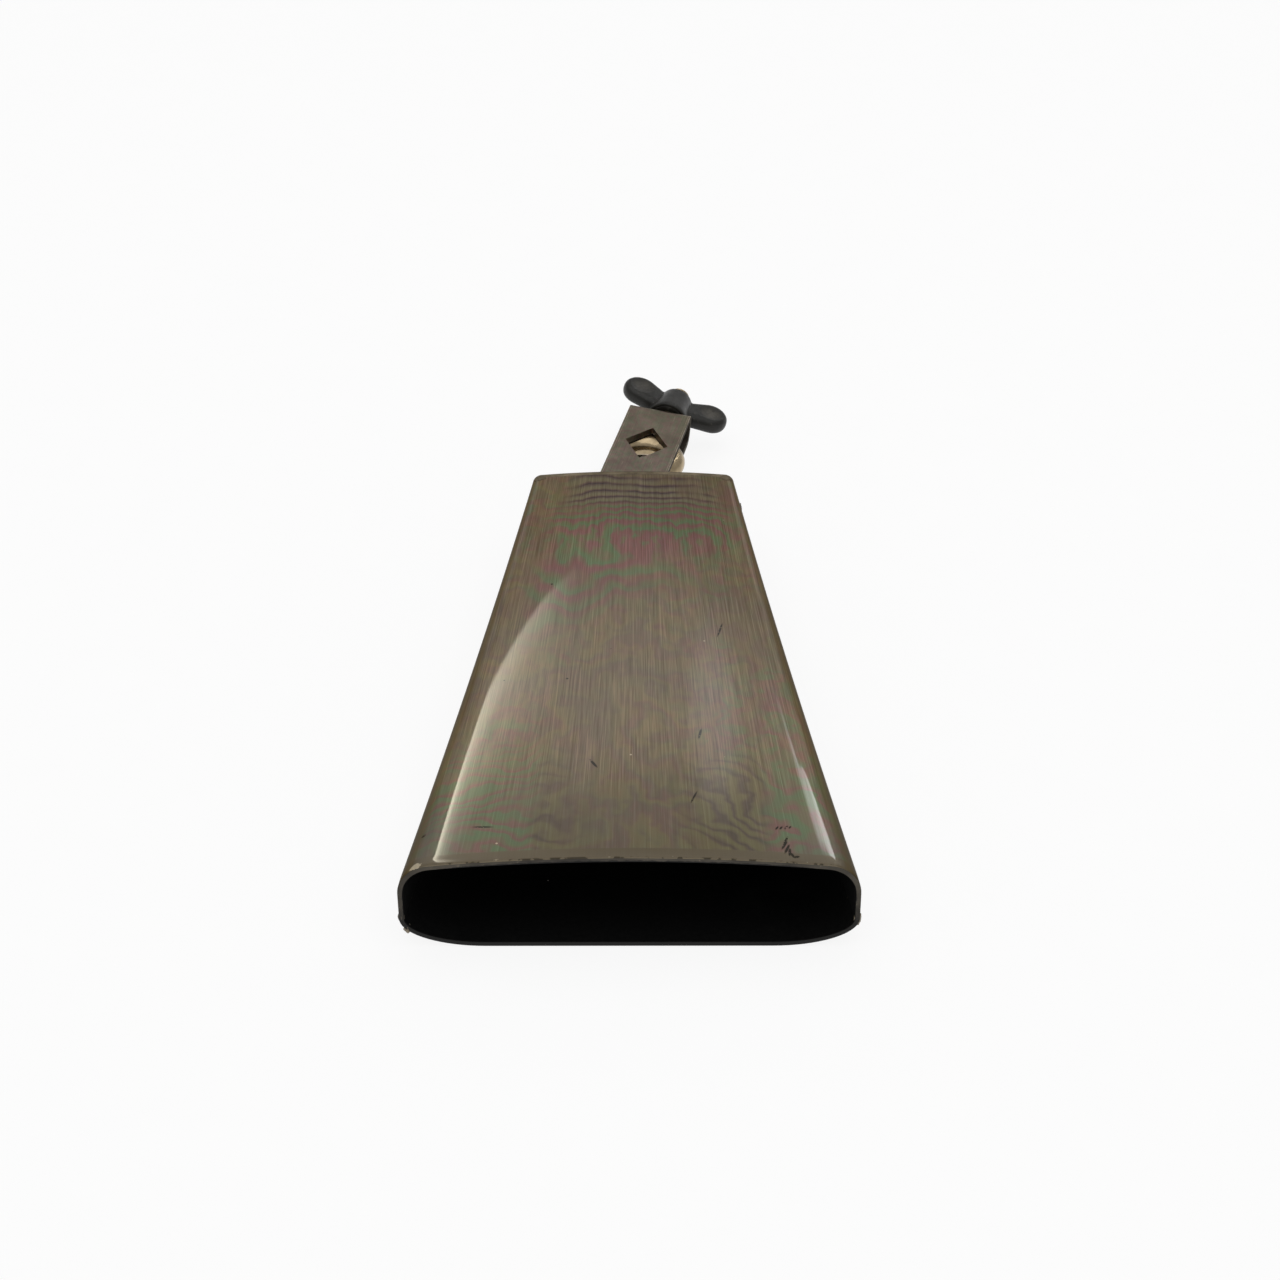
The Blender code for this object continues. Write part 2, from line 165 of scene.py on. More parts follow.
class Look:
    """A material, with short calls that add nodes to it. Values are numbers or sockets."""

    def __init__(self, name):
        self.material = bpy.data.materials.new(name)
        self.material.use_nodes = True
        self.tree = self.material.node_tree
        self.shader = self.tree.nodes["Principled BSDF"]
        self.place = self.add("TexCoord").outputs["Object"]
        self.x, self.y, self.z = self.axes(self.place)

    def put(self, socket, value):
        if isinstance(value, bpy.types.NodeSocket):
            self.tree.links.new(value, socket)
        else:
            socket.default_value = value

    def add(self, kind, inputs=None, **settings):
        node = self.tree.nodes.new("ShaderNode" + kind)
        for key, value in settings.items():
            setattr(node, key, value)
        for key, value in (inputs or {}).items():
            self.put(node.inputs[key], value)
        return node

    def set(self, **values):
        for key, value in values.items():
            self.put(self.shader.inputs[key.replace("_", " ")], value)

    def show(self, shader):
        """Takes the place of the first shader."""
        self.put(self.tree.nodes["Material Output"].inputs["Surface"], shader)

    def glow(self, tint, strength):
        return self.add("Emission", {"Color": tint, "Strength": strength}).outputs[0]

    def math(self, operation, first, second=0):
        return self.add("Math", {0: first, 1: second, 2: 0}, operation=operation).outputs[0]

    def plus(self, first, second, factor=None):
        """The sum of two values, the second one times a factor if there is one."""
        if factor is not None:
            second = self.times(second, factor)
        return self.math("ADD", first, second)

    def minus(self, first, second):
        return self.math("SUBTRACT", first, second)

    def times(self, first, *others):
        for other in others:
            first = self.math("MULTIPLY", first, other)
        return first

    def larger(self, first, second):
        return self.math("MAXIMUM", first, second)

    def absolute(self, value):
        return self.math("ABSOLUTE", value)

    def distance(self, first, second):
        return self.add("VectorMath", {0: first, 1: second}, operation="DISTANCE").outputs["Value"]

    def fade(self, value, low, high, start=0, stop=1):
        """Runs smoothly from start at low to stop at high."""
        span = {"Value": value, "From Min": low, "From Max": high, "To Min": start, "To Max": stop}
        return self.add("MapRange", span, interpolation_type="SMOOTHSTEP").outputs[0]

    def mix(self, share, first, second, blend="MIX"):
        inputs = {0: share, 6: first, 7: second}
        return self.add("Mix", inputs, data_type="RGBA", blend_type=blend).outputs[2]

    def multiply(self, first, second):
        """One colour times another."""
        return self.mix(1, first, second, "MULTIPLY")

    def under_film(self, steel, tint):
        """Steel under a film's tint, which leaves it as it is at 0.5."""
        return self.multiply(steel, self.multiply(tint, (2, 2, 2, 1)))

    def axes(self, vector):
        return self.add("SeparateXYZ", {0: vector}).outputs

    def stretch(self, vector, scale, shift=(0, 0, 0), turn=0):
        inputs = {"Vector": vector, "Scale": scale, "Location": shift, "Rotation": (0, 0, turn)}
        return self.add("Mapping", inputs).outputs[0]

    def noise(self, vector, scale, detail=2, rough=0.5):
        inputs = {"Vector": vector, "Scale": scale, "Detail": detail, "Roughness": rough}
        return self.add("TexNoise", inputs).outputs["Fac"]

    def clouds(self, scale, detail=2, rough=0.5):
        """Even noise through the whole piece."""
        return self.noise(self.place, scale, detail, rough)

    def streaks(self, uv, across, along, detail=2):
        """Noise drawn out along the bell."""
        return self.noise(self.stretch(uv, (across, along, 1)), 1, detail)

    def ramp(self, share, *stops):
        node = self.add("ValToRGB", {0: share})
        stripe = node.color_ramp.elements
        while len(stripe) < len(stops):
            stripe.new(0.5)
        for element, (position, tint) in zip(stripe, stops):
            element.position = position
            element.color = (*tint, 1)
        return node.outputs[0]

    def cycle(self, phase, stops):
        """A ramp that comes round to its first colour each time the phase goes up by one."""
        return self.ramp(self.math("FRACT", phase), *stops, (1, stops[0][1]))

    def specks(self, scale, size, share, place=None):
        """Round specks in some of the cells of a grid: 1 inside a speck, 0 elsewhere."""
        cells = self.add("TexVoronoi", {"Vector": place or self.place, "Scale": scale})
        inside = self.fade(cells.outputs["Distance"], size, size * 0.6)
        chosen = self.math("LESS_THAN", self.axes(cells.outputs["Color"])[0], share)
        return self.times(inside, chosen)

    def mark(self, centre, half_length, half_width, turn=0):
        """A soft-edged stroke at a point of the plan, 1 in its middle."""
        inputs = {
            "Vector": self.add("CombineXYZ", {0: self.x, 1: self.y}).outputs[0],
            "Location": (*centre, 0),
            "Rotation": (0, 0, turn),
            "Scale": (half_length, half_width, 1),
        }
        along = self.add("Mapping", inputs, vector_type="TEXTURE").outputs[0]
        return self.add("TexGradient", {0: along}, gradient_type="SPHERICAL").outputs["Fac"]

    def bump(self, height, strength, distance):
        inputs = {"Height": height, "Strength": strength, "Distance": distance}
        self.set(Normal=self.add("Bump", inputs).outputs[0])


def colour(red, green, blue):
    """Linear values from sRGB values of 0 to 255."""
    linear = []
    for value in (red, green, blue):
        share = value / 255
        linear.append(share / 12.92 if share < 0.04045 else ((share + 0.055) / 1.055) ** 2.4)
    return tuple(linear)


def solid(*values):
    return (*colour(*values), 1)


def grey(level):
    return (level, level, level)


white = (1, 1, 1, 1)
bronze_sheen = (0.5, 0.44, 0.35, 1)
pit_colour = (0.03, 0.026, 0.02, 1)
lip_colour = (0.172, 0.141, 0.095, 1)
chip_colour = (0.66, 0.57, 0.42, 1)

# Tints of the thin films over one step of their thickness. A tint of 0.5 leaves the steel as it is
plum_bands = (
    (0, (0.53, 0.58, 0.57)), (0.3, (0.55, 0.57, 0.56)), (0.48, (0.38, 0.32, 0.43)),
    (0.6, (0.2, 0.18, 0.33)), (0.74, (0.39, 0.37, 0.48)),
)
maroon_bands = (
    (0, (0.47, 0.475, 0.46)), (0.2, (0.37, 0.58, 0.46)), (0.36, (0.34, 0.6, 0.49)),
    (0.5, (0.48, 0.44, 0.48)), (0.66, (0.58, 0.345, 0.49)), (0.84, (0.56, 0.37, 0.53)),
)
gold_waves = (
    (0, (0.54, 0.54, 0.45)), (0.25, (0.57, 0.52, 0.44)), (0.5, (0.53, 0.43, 0.47)),
    (0.75, (0.48, 0.45, 0.46)),
)
olive_contours = (
    (0, (0.49, 0.49, 0.38)), (0.3, (0.48, 0.47, 0.38)), (0.5, (0.36, 0.33, 0.35)),
    (0.62, (0.33, 0.31, 0.34)), (0.8, (0.44, 0.42, 0.38)),
)
pink_contours = (
    (0, (0.5, 0.5, 0.43)), (0.12, (0.42, 0.58, 0.43)), (0.42, (0.39, 0.6, 0.45)),
    (0.54, (0.52, 0.48, 0.44)), (0.66, (0.61, 0.39, 0.45)), (0.78, (0.59, 0.42, 0.46)),
    (0.88, (0.51, 0.49, 0.44)),
)


def brushed_lines(look, uv):
    """Fine lengthwise brush lines that fan out with the taper, most of them from 0 to 1."""
    fine = look.streaks(uv, 2500, 62)
    long = look.streaks(uv, 1600, 18)
    hairs = look.streaks(uv, 2300, 26, 1)
    bright = look.fade(hairs, 0.62, 0.7, 0, 0.26)
    dark = look.fade(hairs, 0.38, 0.3, 0, -0.2)
    lines = look.plus(look.times(fine, 0.6), long, 0.4)
    return look.plus(lines, look.plus(bright, dark))


def closed_end_film(look):
    """Tint and share of the bands that crowd towards the closed end and fade out down the bell."""
    # Lengths from the end are in millimetres
    from_end = look.times(look.minus(end_y, look.y), 1000)
    crowded = look.math("LOGARITHM", look.plus(look.times(from_end, 0.0168), 1), e)
    wander = look.noise(look.stretch(look.place, (1.4, 0.6, 1)), 30)
    wilder = look.fade(from_end, 6, 40, 2.4, 5)
    jagged = look.noise(look.stretch(look.place, (1, 0.5, 1)), 120, 3, 0.6)
    zigzag = look.times(jagged, look.fade(from_end, 14, 34, 0.9, 3), look.fade(from_end, 38, 60, 1, 0.3))
    phase = look.plus(look.times(crowded, 11.5), look.plus(look.times(wander, wilder), zigzag))
    # The bands reach further down on the left than on the right
    reach = look.plus(from_end, look.x, 700)
    along = look.times(look.fade(reach, 98, 52), look.fade(from_end, 0.5, 6, 0.6, 1))
    half = look.plus(look.times(from_end, 0.000149), end_width / 2)
    across = look.absolute(look.math("DIVIDE", look.plus(look.x, -0.003), half))
    narrower = look.fade(from_end, 26, 8, 0, 0.16)
    edge = look.plus(look.plus(across, narrower), look.clouds(60), 0.5)
    patchy = look.fade(look.clouds(52), 0.32, 0.48, 0.25, 1)
    share = look.times(along, look.fade(edge, 1.15, 0.85), patchy)
    thicker = look.fade(from_end, 17, 25)
    tint = look.mix(thicker, look.cycle(phase, plum_bands), look.cycle(phase, maroon_bands))
    return tint, share


def mouth_film(look):
    """Tint and share of the contours near the mouth: olive and plum, then green and pink."""
    out = look.absolute(look.x)
    left = look.fade(look.x, -0.012, -0.032)
    edge = look.plus(look.times(look.clouds(60), 0.012), left, 0.014)
    outer = look.fade(look.plus(out, edge), 0.042, 0.05)
    # The olive lines lie along the mouth on the left, and slant on the right
    run = look.plus(look.y, look.fade(look.x, -0.012, 0.012), look.x)
    close = look.plus(look.times(look.clouds(45, 3), 6), run, 120)
    layers = look.plus(look.times(left, 170), 40)
    from_mouth = look.plus(look.y, -mouth_y - 0.013)
    wide = look.plus(look.times(look.clouds(42, 3, 0.55), 6), from_mouth, layers)
    tint = look.mix(outer, look.cycle(close, olive_contours), look.cycle(wide, pink_contours))
    along = look.fade(look.y, -0.04, -0.078)
    sides = look.fade(out, 0.006, 0.03)
    patchy = look.fade(look.clouds(27, 1), 0.38, 0.52, 0.45, 1)
    return tint, look.times(along, sides, patchy)


def middle_film(look):
    """Tint and share of the weak gold and plum waves that the other films lie over."""
    wander = look.noise(look.stretch(look.place, (1, 0.8, 1)), 26, 4, 0.6)
    phase = look.plus(look.times(wander, 9), look.y, 30)
    return look.cycle(phase, gold_waves), look.fade(look.clouds(30), 0.34, 0.6, 0.5, 1)


def side_film(look, uv):
    """Tint and share of the green and maroon streaks, strongest away from the middle line."""
    phase = look.times(look.clouds(34, 4, 0.62), 7)
    blotch = look.fade(look.clouds(21), 0.4, 0.62, 0.05, 0.6)
    streak = look.fade(look.streaks(uv, 150, 12), 0.35, 0.65, 0.4, 1)
    sides = look.fade(look.absolute(look.x), 0.008, 0.034, 0.2, 1)
    return look.cycle(phase, maroon_bands), look.times(blotch, streak, sides)


# Scuffs on the bell's top: place, half length, half width and turn
scuff_marks = (
    ((0.043, -0.0921), 0.0013, 0.00045, 1.1), ((0.0442, -0.0919), 0.0014, 0.00045, 1.1),
    ((0.0457, -0.0916), 0.0014, 0.00048, 1.1), ((0.0468, -0.0914), 0.001, 0.00042, 1.1),
    ((0.0454, -0.0976), 0.0025, 0.0005, 1.2), ((0.0449, -0.0999), 0.0032, 0.00059, 1.2),
    ((0.0456, -0.1017), 0.0032, 0.00062, 1.25), ((0.0463, -0.1031), 0.0025, 0.00062, 1.5),
    ((0.047, -0.1044), 0.0018, 0.00062, 2), ((0.0482, -0.1051), 0.0013, 0.0007, 0.4),
    ((-0.0427, -0.0915), 0.0042, 0.00048, -0.1), ((-0.06, -0.0925), 0.001, 0.0007, 0.3),
    ((0.0284, 0.0098), 0.0055, 0.0005, 1.35), ((-0.0109, -0.0627), 0.0032, 0.00062, -1.06),
    ((0.0212, -0.0473), 0.0037, 0.00056, 1.4), ((0.019, -0.079), 0.0042, 0.00045, 1.25),
)


def bell_wear(look):
    """Dark scuffs, pits and flecks, and pale chips on the rim and here and there."""
    scuffs = 0
    for centre, long, wide, turn in scuff_marks:
        scuffs = look.larger(scuffs, look.mark(centre, long, wide, turn))
    broken = look.fade(look.clouds(1300), 0.3, 0.44)
    scuffs = look.times(look.fade(scuffs, 0.1, 0.5), broken)
    dark = look.larger(scuffs, look.specks(150, 0.075, 0.05))
    ragged = look.clouds(330, 3, 0.6)
    near_rim = look.fade(look.y, mouth_y + 0.0011, mouth_y + 0.0004)
    flecks = look.times(near_rim, look.fade(ragged, 0.53, 0.6))
    dark = look.larger(dark, look.times(flecks, 0.8))
    at_rim = look.fade(look.y, mouth_y + 0.0016, mouth_y + 0.0002)
    chips = look.times(at_rim, look.fade(ragged, 0.33, 0.28))
    corner_chip = look.mark((-0.0614, -0.1067), 0.0025, 0.0021, 0.3)
    jagged = look.plus(look.clouds(800, 2, 0.6), -0.5)
    corner_chip = look.plus(corner_chip, jagged, 1.1)
    chips = look.larger(chips, look.fade(corner_chip, 0.3, 0.42))
    shifted = look.stretch(look.place, (1, 1, 1), (0.3, 0.1, 0))
    chips = look.larger(chips, look.specks(130, 0.06, 0.04, shifted))
    return dark, chips


def bell_outside():
    """Brushed steel under film colours, wear, painted shade on the side walls, and a clear lacquer."""
    look = Look("bell_lacquered_steel")
    uv = look.add("UVMap", uv_map="surface").outputs[0]
    contrast = look.fade(look.y, -0.055, -0.095, 1, 0.3)
    brush = look.plus(look.times(look.plus(brushed_lines(look, uv), -0.5), contrast), 0.5)
    steel = look.ramp(
        brush, (0.3, (0.158, 0.127, 0.083)),
        (0.5, (0.226, 0.184, 0.123)), (0.7, (0.322, 0.266, 0.183)),
    )
    cloudy = look.ramp(look.clouds(26, 3), (0.3, (0.9, 0.9, 0.92)), (0.7, (1.1, 1.09, 1.04)))
    to_mouth = look.fade(look.y, -0.05, -0.1)
    mouth_shade = look.ramp(to_mouth, (0, grey(1)), (1, (0.84, 0.93, 1.07)))
    steel = look.multiply(look.multiply(steel, cloudy), mouth_shade)

    # No film on the satin lip, and a quarter of its strength on the side walls
    on_lip = look.fade(look.y, lip_y + 0.0004, lip_y - 0.0003)
    upright = look.absolute(look.axes(look.add("TexCoord").outputs["Normal"])[2])
    bare = look.larger(on_lip, look.fade(upright, 0.985, 0.6, 0, 0.75))
    filmed = look.minus(1, bare)
    film = (0.5, 0.5, 0.5, 1)
    for tint, share in (middle_film(look), side_film(look, uv), mouth_film(look), closed_end_film(look)):
        film = look.mix(look.times(share, filmed), film, tint)
    steel = look.under_film(steel, film)
    steel = look.mix(look.times(on_lip, 0.8), steel, lip_colour)
    # Painted shade: the side walls are darkened, down to 0.42 of the top's colour
    side_wall_shade = look.fade(upright, 0.96, 0.55)
    steel = look.multiply(steel, look.ramp(side_wall_shade, (0, grey(1)), (1, grey(0.42))))

    dark, chips = bell_wear(look)
    steel = look.mix(dark, steel, pit_colour)
    steel = look.mix(look.times(chips, 0.9), steel, chip_colour)

    # The lacquer is weaker on the side walls than on the top, and ends just before the rim
    wall = look.fade(upright, 0.8, 0.3)
    rough = look.plus(look.plus(look.times(brush, 0.16), 0.3), wall, 0.3)
    behind_rim = look.fade(look.y, mouth_y + 0.0008, mouth_y + 0.0018)
    lacquer = look.times(look.fade(upright, 0.78, 0.96, 0.08, 0.8), behind_rim)
    tangent = look.add("Tangent", direction_type="UV_MAP", uv_map="surface").outputs[0]
    look.set(Base_Color=steel, Metallic=1, Roughness=rough, Anisotropic=0.5, Tangent=tangent)
    look.set(Specular_Tint=bronze_sheen, Coat_Weight=lacquer, Coat_Roughness=0.015, Coat_IOR=1.5)
    look.bump(look.plus(look.times(brush, 0.5), dark, -1), 0.1, 0.00012)
    return look.material


def bell_inside():
    """Matt black paint with a little haze and dust."""
    look = Look("bell_black_paint")
    grain = look.clouds(700, 3)
    paint = look.ramp(grain, (0.3, grey(0.0016)), (0.75, (0.0042, 0.0041, 0.004)))
    haze = look.fade(look.clouds(30, 4, 0.6), 0.55, 0.8, 0, 0.012)
    paint = look.mix(haze, paint, (0.5, 0.48, 0.42, 1))
    dust = look.specks(120, 0.06, 0.12)
    paint = look.mix(dust, paint, (0.4, 0.38, 0.35, 1))
    look.set(Base_Color=paint, Roughness=0.72, Specular_IOR_Level=0.12)
    look.bump(grain, 0.25, 0.0001)
    return look.material


def depth_in_rim(look):
    """How far a point of the upper rim lies inside the bell's outer face, in metres."""
    flat_half = mouth_width / 2 - mouth_shoulder
    level = look.plus(look.z, look.times(look.x, look.x), mouth_crown / flat_half**2)
    past = look.larger(look.plus(look.absolute(look.x), -flat_half), 0)
    above = look.larger(look.plus(level, mouth_shoulder - mouth_height), 0)
    from_corner = look.math("SQRT", look.plus(look.times(past, past), above, above))
    return look.minus(mouth_shoulder - lip_inset, from_corner)


def rim_edge():
    """The sheet's cut edge: dark, with worn spots, painted black on its inner side but less at its
    corners, which leaves a painted highlight there, and black on its lower half.
    """
    look = Look("bell_cut_edge")
    worn = look.fade(look.clouds(240, 4, 0.65), 0.6, 0.72)
    dull = look.ramp(look.clouds(90, 3), (0.3, colour(46, 42, 36)), (0.7, colour(86, 80, 70)))
    ragged = look.plus(look.clouds(420, 3, 0.6), -0.5)
    deep = look.plus(depth_in_rim(look), ragged, 0.0012)
    # Painted highlight: the black reaches less far in at the corners, so the edge is lighter there
    corner = look.fade(look.absolute(look.x), 0.044, 0.058, 0, 0.0005)
    inner_paint_with_corner_highlight = look.fade(look.minus(deep, corner), 0.0008, 0.0011)
    # Black on the lower half of the rim
    low = look.fade(look.plus(look.z, ragged, 0.012), 0.016, 0.007)
    painted = look.larger(inner_paint_with_corner_highlight, low)
    edge = look.mix(look.times(worn, 0.8), dull, solid(118, 108, 90))
    edge = look.mix(look.times(painted, 0.95), edge, solid(10, 10, 9))
    look.set(Base_Color=edge, Metallic=0.4, Roughness=look.fade(worn, 0, 1, 0.68, 0.45))
    look.bump(look.clouds(1500, 3), 0.3, 0.0001)
    return look.material


def weld_steel():
    """Rough weld metal under the lacquer, with burnt patches and bright spatter."""
    look = Look("weld_rough_steel")
    burnt = look.clouds(160, 4, 0.6)
    metal = look.ramp(
        burnt, (0.3, colour(48, 43, 36)),
        (0.5, colour(88, 79, 64)), (0.68, colour(120, 108, 88)),
    )
    bright = look.fade(look.clouds(480), 0.64, 0.74)
    look.set(Base_Color=look.mix(bright, metal, solid(146, 136, 116)), Metallic=0.9)
    look.set(Roughness=look.fade(burnt, 0.3, 0.7, 0.6, 0.38), Coat_Weight=0.6, Coat_Roughness=0.15)
    look.bump(look.clouds(1400, 3), 0.5, 0.0002)
    return look.material


def dressed_weld():
    """Weld metal ground nearly flush under the lacquer, close to the bell's own colour."""
    look = Look("weld_dressed_steel")
    cloud = look.clouds(190, 4, 0.6)
    metal = look.ramp(cloud, (0.3, (0.115, 0.094, 0.064)), (0.7, (0.215, 0.176, 0.12)))
    pits = look.specks(520, 0.2, 0.05)
    look.set(Base_Color=look.mix(pits, metal, pit_colour), Metallic=0.7)
    look.set(Roughness=look.fade(cloud, 0.3, 0.7, 0.66, 0.52), Specular_Tint=(0.4, 0.36, 0.3, 1))
    look.bump(look.plus(cloud, pits, -0.5), 0.3, 0.00015)
    return look.material


def bracket_steel():
    """Satin brown-grey strap, bright on its edges from wear and a painted highlight, with painted shade
    on its cut sides and between its plates.
    """
    look = Look("bracket_satin_steel")
    grain = look.noise(look.stretch(look.place, (2600, 60, 900)), 1, 3)
    cloud = look.clouds(120, 4, 0.6)
    steel = look.ramp(
        cloud, (0.3, (0.172, 0.142, 0.108)),
        (0.5, (0.222, 0.186, 0.142)), (0.7, (0.29, 0.243, 0.188)),
    )
    steel = look.multiply(steel, look.ramp(grain, (0.3, grey(0.86)), (0.7, grey(1.12))))
    tint = look.cycle(look.times(look.clouds(75), 11), maroon_bands)
    steel = look.mix(0.3, steel, look.under_film(steel, tint))

    half = strap_width / 2
    out = look.absolute(look.x)
    up = look.absolute(look.z)
    # Painted shade: near black, less metallic and without lacquer on the cut sides and on the faces
    # between the plates
    cut_side = look.fade(out, half - 0.00014, half - 0.00005)
    inner = bracket_height / 2 - strap_thickness
    far_face = far_reach - strap_thickness
    far_wall = look.fade(look.y, far_face + 0.0001, far_face + 0.0004)
    inside = look.fade(up, inner + 0.0004, inner + 0.0001)
    between_plates = look.times(inside, look.minus(1, far_wall))
    painted_shade_faces = look.larger(cut_side, between_plates)
    scale = look.clouds(240, 4, 0.6)
    scale = look.ramp(scale, (0.3, (0.016, 0.014, 0.012)), (0.7, (0.05, 0.044, 0.036)))
    steel = look.mix(look.times(painted_shade_faces, 0.9), steel, scale)

    # Bright edges on the outer faces: partly wear, partly a painted edge highlight
    edge = look.fade(look.math("PINGPONG", look.plus(out, 0.0004 - half), 0.0004), 0.00012, 0.0003)
    edge = look.times(edge, look.fade(up, inner + 0.0018, inner + 0.0022))
    edge = look.times(edge, look.math("GREATER_THAN", out, half - 0.0008))
    ragged = look.fade(look.clouds(380, 3, 0.6), 0.36, 0.6, 0.2, 0.9)
    steel = look.mix(look.times(edge, ragged), steel, (0.42, 0.37, 0.29, 1))
    scratches = look.stretch(look.place, (1800, 130, 500), turn=0.5)
    scratch = look.fade(look.noise(scratches, 1, 1), 0.72, 0.78)
    steel = look.mix(look.times(scratch, 0.5), steel, (0.45, 0.39, 0.3, 1))
    rough = look.plus(look.fade(cloud, 0.3, 0.7, 0.46, 0.34), painted_shade_faces, 0.3)
    look.set(Base_Color=steel, Metallic=look.fade(painted_shade_faces, 0, 1, 1, 0.3), Roughness=rough)
    look.set(Coat_Weight=look.fade(painted_shade_faces, 0, 1, 0.5, 0), Coat_Roughness=0.12)
    look.set(Specular_Tint=bronze_sheen)
    look.bump(look.plus(grain, scratch, -0.6), 0.14, 0.0001)
    return look.material


def plated_steel(name, dark, light, rough):
    """Zinc plate with soft clouds, fine pits and dull handling marks."""
    look = Look(name)
    cloud = look.clouds(210, 4, 0.6)
    plate = look.ramp(cloud, (0.28, dark), (0.72, light))
    dull = look.fade(look.clouds(90, 3, 0.6), 0.52, 0.7)
    plate = look.mix(look.times(dull, 0.35), plate, solid(96, 84, 62))
    pits = look.specks(700, 0.16, 0.1)
    plate = look.mix(look.times(pits, 0.7), plate, solid(60, 52, 40))
    look.set(Base_Color=plate, Metallic=1, Roughness=look.fade(dull, 0, 1, rough, rough + 0.16))
    look.bump(look.plus(look.times(cloud, 0.3), pits, -0.6), 0.12, 0.0001)
    return look.material


def nut_plastic():
    """Charcoal moulded plastic: fine grain, greyer on its edges, a painted highlight in its dishes, and a
    little dust.
    """
    look = Look("wing_nut_moulded_plastic")
    cloud = look.clouds(150, 4, 0.6)
    body = look.ramp(cloud, (0.3, colour(24, 23, 21)), (0.7, colour(37, 36, 32)))
    corner = look.fade(look.add("NewGeometry").outputs["Pointiness"], 0.52, 0.58)
    worn = look.times(corner, look.fade(look.clouds(300, 3, 0.6), 0.35, 0.6))
    body = look.mix(look.times(worn, 0.45), body, solid(80, 78, 73))
    # Painted highlight: lighter round the middle of each wing's dish
    from_axis = look.math("SQRT", look.plus(look.times(look.x, look.x), look.y, look.y))
    flat_place = look.add("CombineXYZ", {0: from_axis, 1: look.z}).outputs[0]
    from_dish = look.distance(flat_place, (dish_reach, dish_height, 0))
    patchy = look.fade(look.clouds(260, 3, 0.6), 0.34, 0.62, 0.25, 1)
    dish_painted_highlight = look.times(look.fade(from_dish, 0.0052, 0.0012), patchy)
    body = look.mix(look.times(dish_painted_highlight, 0.6), body, solid(92, 87, 78))
    dust = look.fade(look.clouds(620, 4, 0.7), 0.6, 0.72, 0, 0.16)
    body = look.mix(dust, body, solid(120, 115, 105))
    rough = look.fade(cloud, 0.3, 0.7, 0.44, 0.33)
    look.set(Base_Color=body, Roughness=rough, Specular_IOR_Level=0.3)
    look.bump(look.clouds(2600), 0.16, 0.0001)
    return look.material


outside_look = bell_outside()
inside_look = bell_inside()
rim_look = rim_edge()
weld_look = weld_steel()
dressed_look = dressed_weld()
bracket_look = bracket_steel()
bolt_look = plated_steel("eye_bolt_yellow_zinc", colour(146, 129, 101), colour(190, 171, 139), 0.24)
insert_look = plated_steel("insert_plain_zinc", colour(150, 144, 130), colour(196, 190, 176), 0.3)
nut_look = nut_plastic()


# Pieces


def new_object(name, data):
    item = bpy.data.objects.new(name, data)
    bpy.context.scene.collection.objects.link(item)
    return item


def add_piece(name, mesh, looks, body, slot, stands_for=None, place=None):
    piece = new_object(name, mesh)
    for look in looks:
        mesh.materials.append(look)
    if place:
        piece.matrix_world = place
    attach(piece, body)
    if stands_for:
        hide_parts(stands_for)
    return piece


def skin(form, rows, closed=False, capped=False):
    """Faces between each ring of points and the next one. Returns the rings."""
    rings = [[form.verts.new(point) for point in row] for row in rows]
    pairs = list(zip(rings, rings[1:]))
    if closed:
        pairs.append((rings[-1], rings[0]))
    for near, far in pairs:
        for index in range(len(near)):
            after = (index + 1) % len(near)
            form.faces.new((near[index], far[index], far[after], near[after]))
    if capped:
        form.faces.new(rings[0])
        form.faces.new(rings[-1])
    return rings


def mesh_from(name, form, smooth=True, outward=True):
    """A mesh of a form, which is used up. outward turns its faces outwards first."""
    if outward:
        bmesh.ops.recalc_face_normals(form, faces=form.faces)
    mesh = bpy.data.meshes.new(name)
    form.to_mesh(mesh)
    form.free()
    if smooth:
        mesh.shade_smooth()
    return mesh


def keep_flats(piece):
    """Clean shading on flats beside rounded edges."""
    normals = piece.modifiers.new("normals", "WEIGHTED_NORMAL")
    normals.keep_sharp = True


def soften(piece, width, angle=radians(35), segments=3):
    """Rounded edges."""
    step = piece.modifiers.new("edges", "BEVEL")
    step.width = width
    step.segments = segments
    step.angle_limit = angle
    keep_flats(piece)


def melt(piece, voxel, rounds):
    """One smooth skin over all of a piece."""
    remesh = piece.modifiers.new("skin", "REMESH")
    remesh.voxel_size = voxel
    remesh.use_smooth_shade = True
    relax = piece.modifiers.new("relax", "SMOOTH")
    relax.iterations = rounds


# Bell shells


def even(first, last, steps):
    """Evenly spaced values from first to last."""
    return [first + (last - first) * step / steps for step in range(steps + 1)]


def around(sides):
    """Evenly spaced angles of one full turn."""
    return even(0, 2 * pi, sides)[:-1]


def arc(centre, radius, first, last, steps=9):
    """Points from one angle to another round a centre."""
    x, y = centre
    return [(x + radius * cos(angle), y + radius * sin(angle)) for angle in even(first, last, steps)]


def between(at_mouth, at_end, y):
    share = (y - mouth_y) / bell_length
    return at_mouth + (at_end - at_mouth) * share


def half_width(y):
    share = (y - mouth_y) / bell_length
    return between(mouth_width, end_width, y) / 2 - waist * 4 * share * (1 - share)


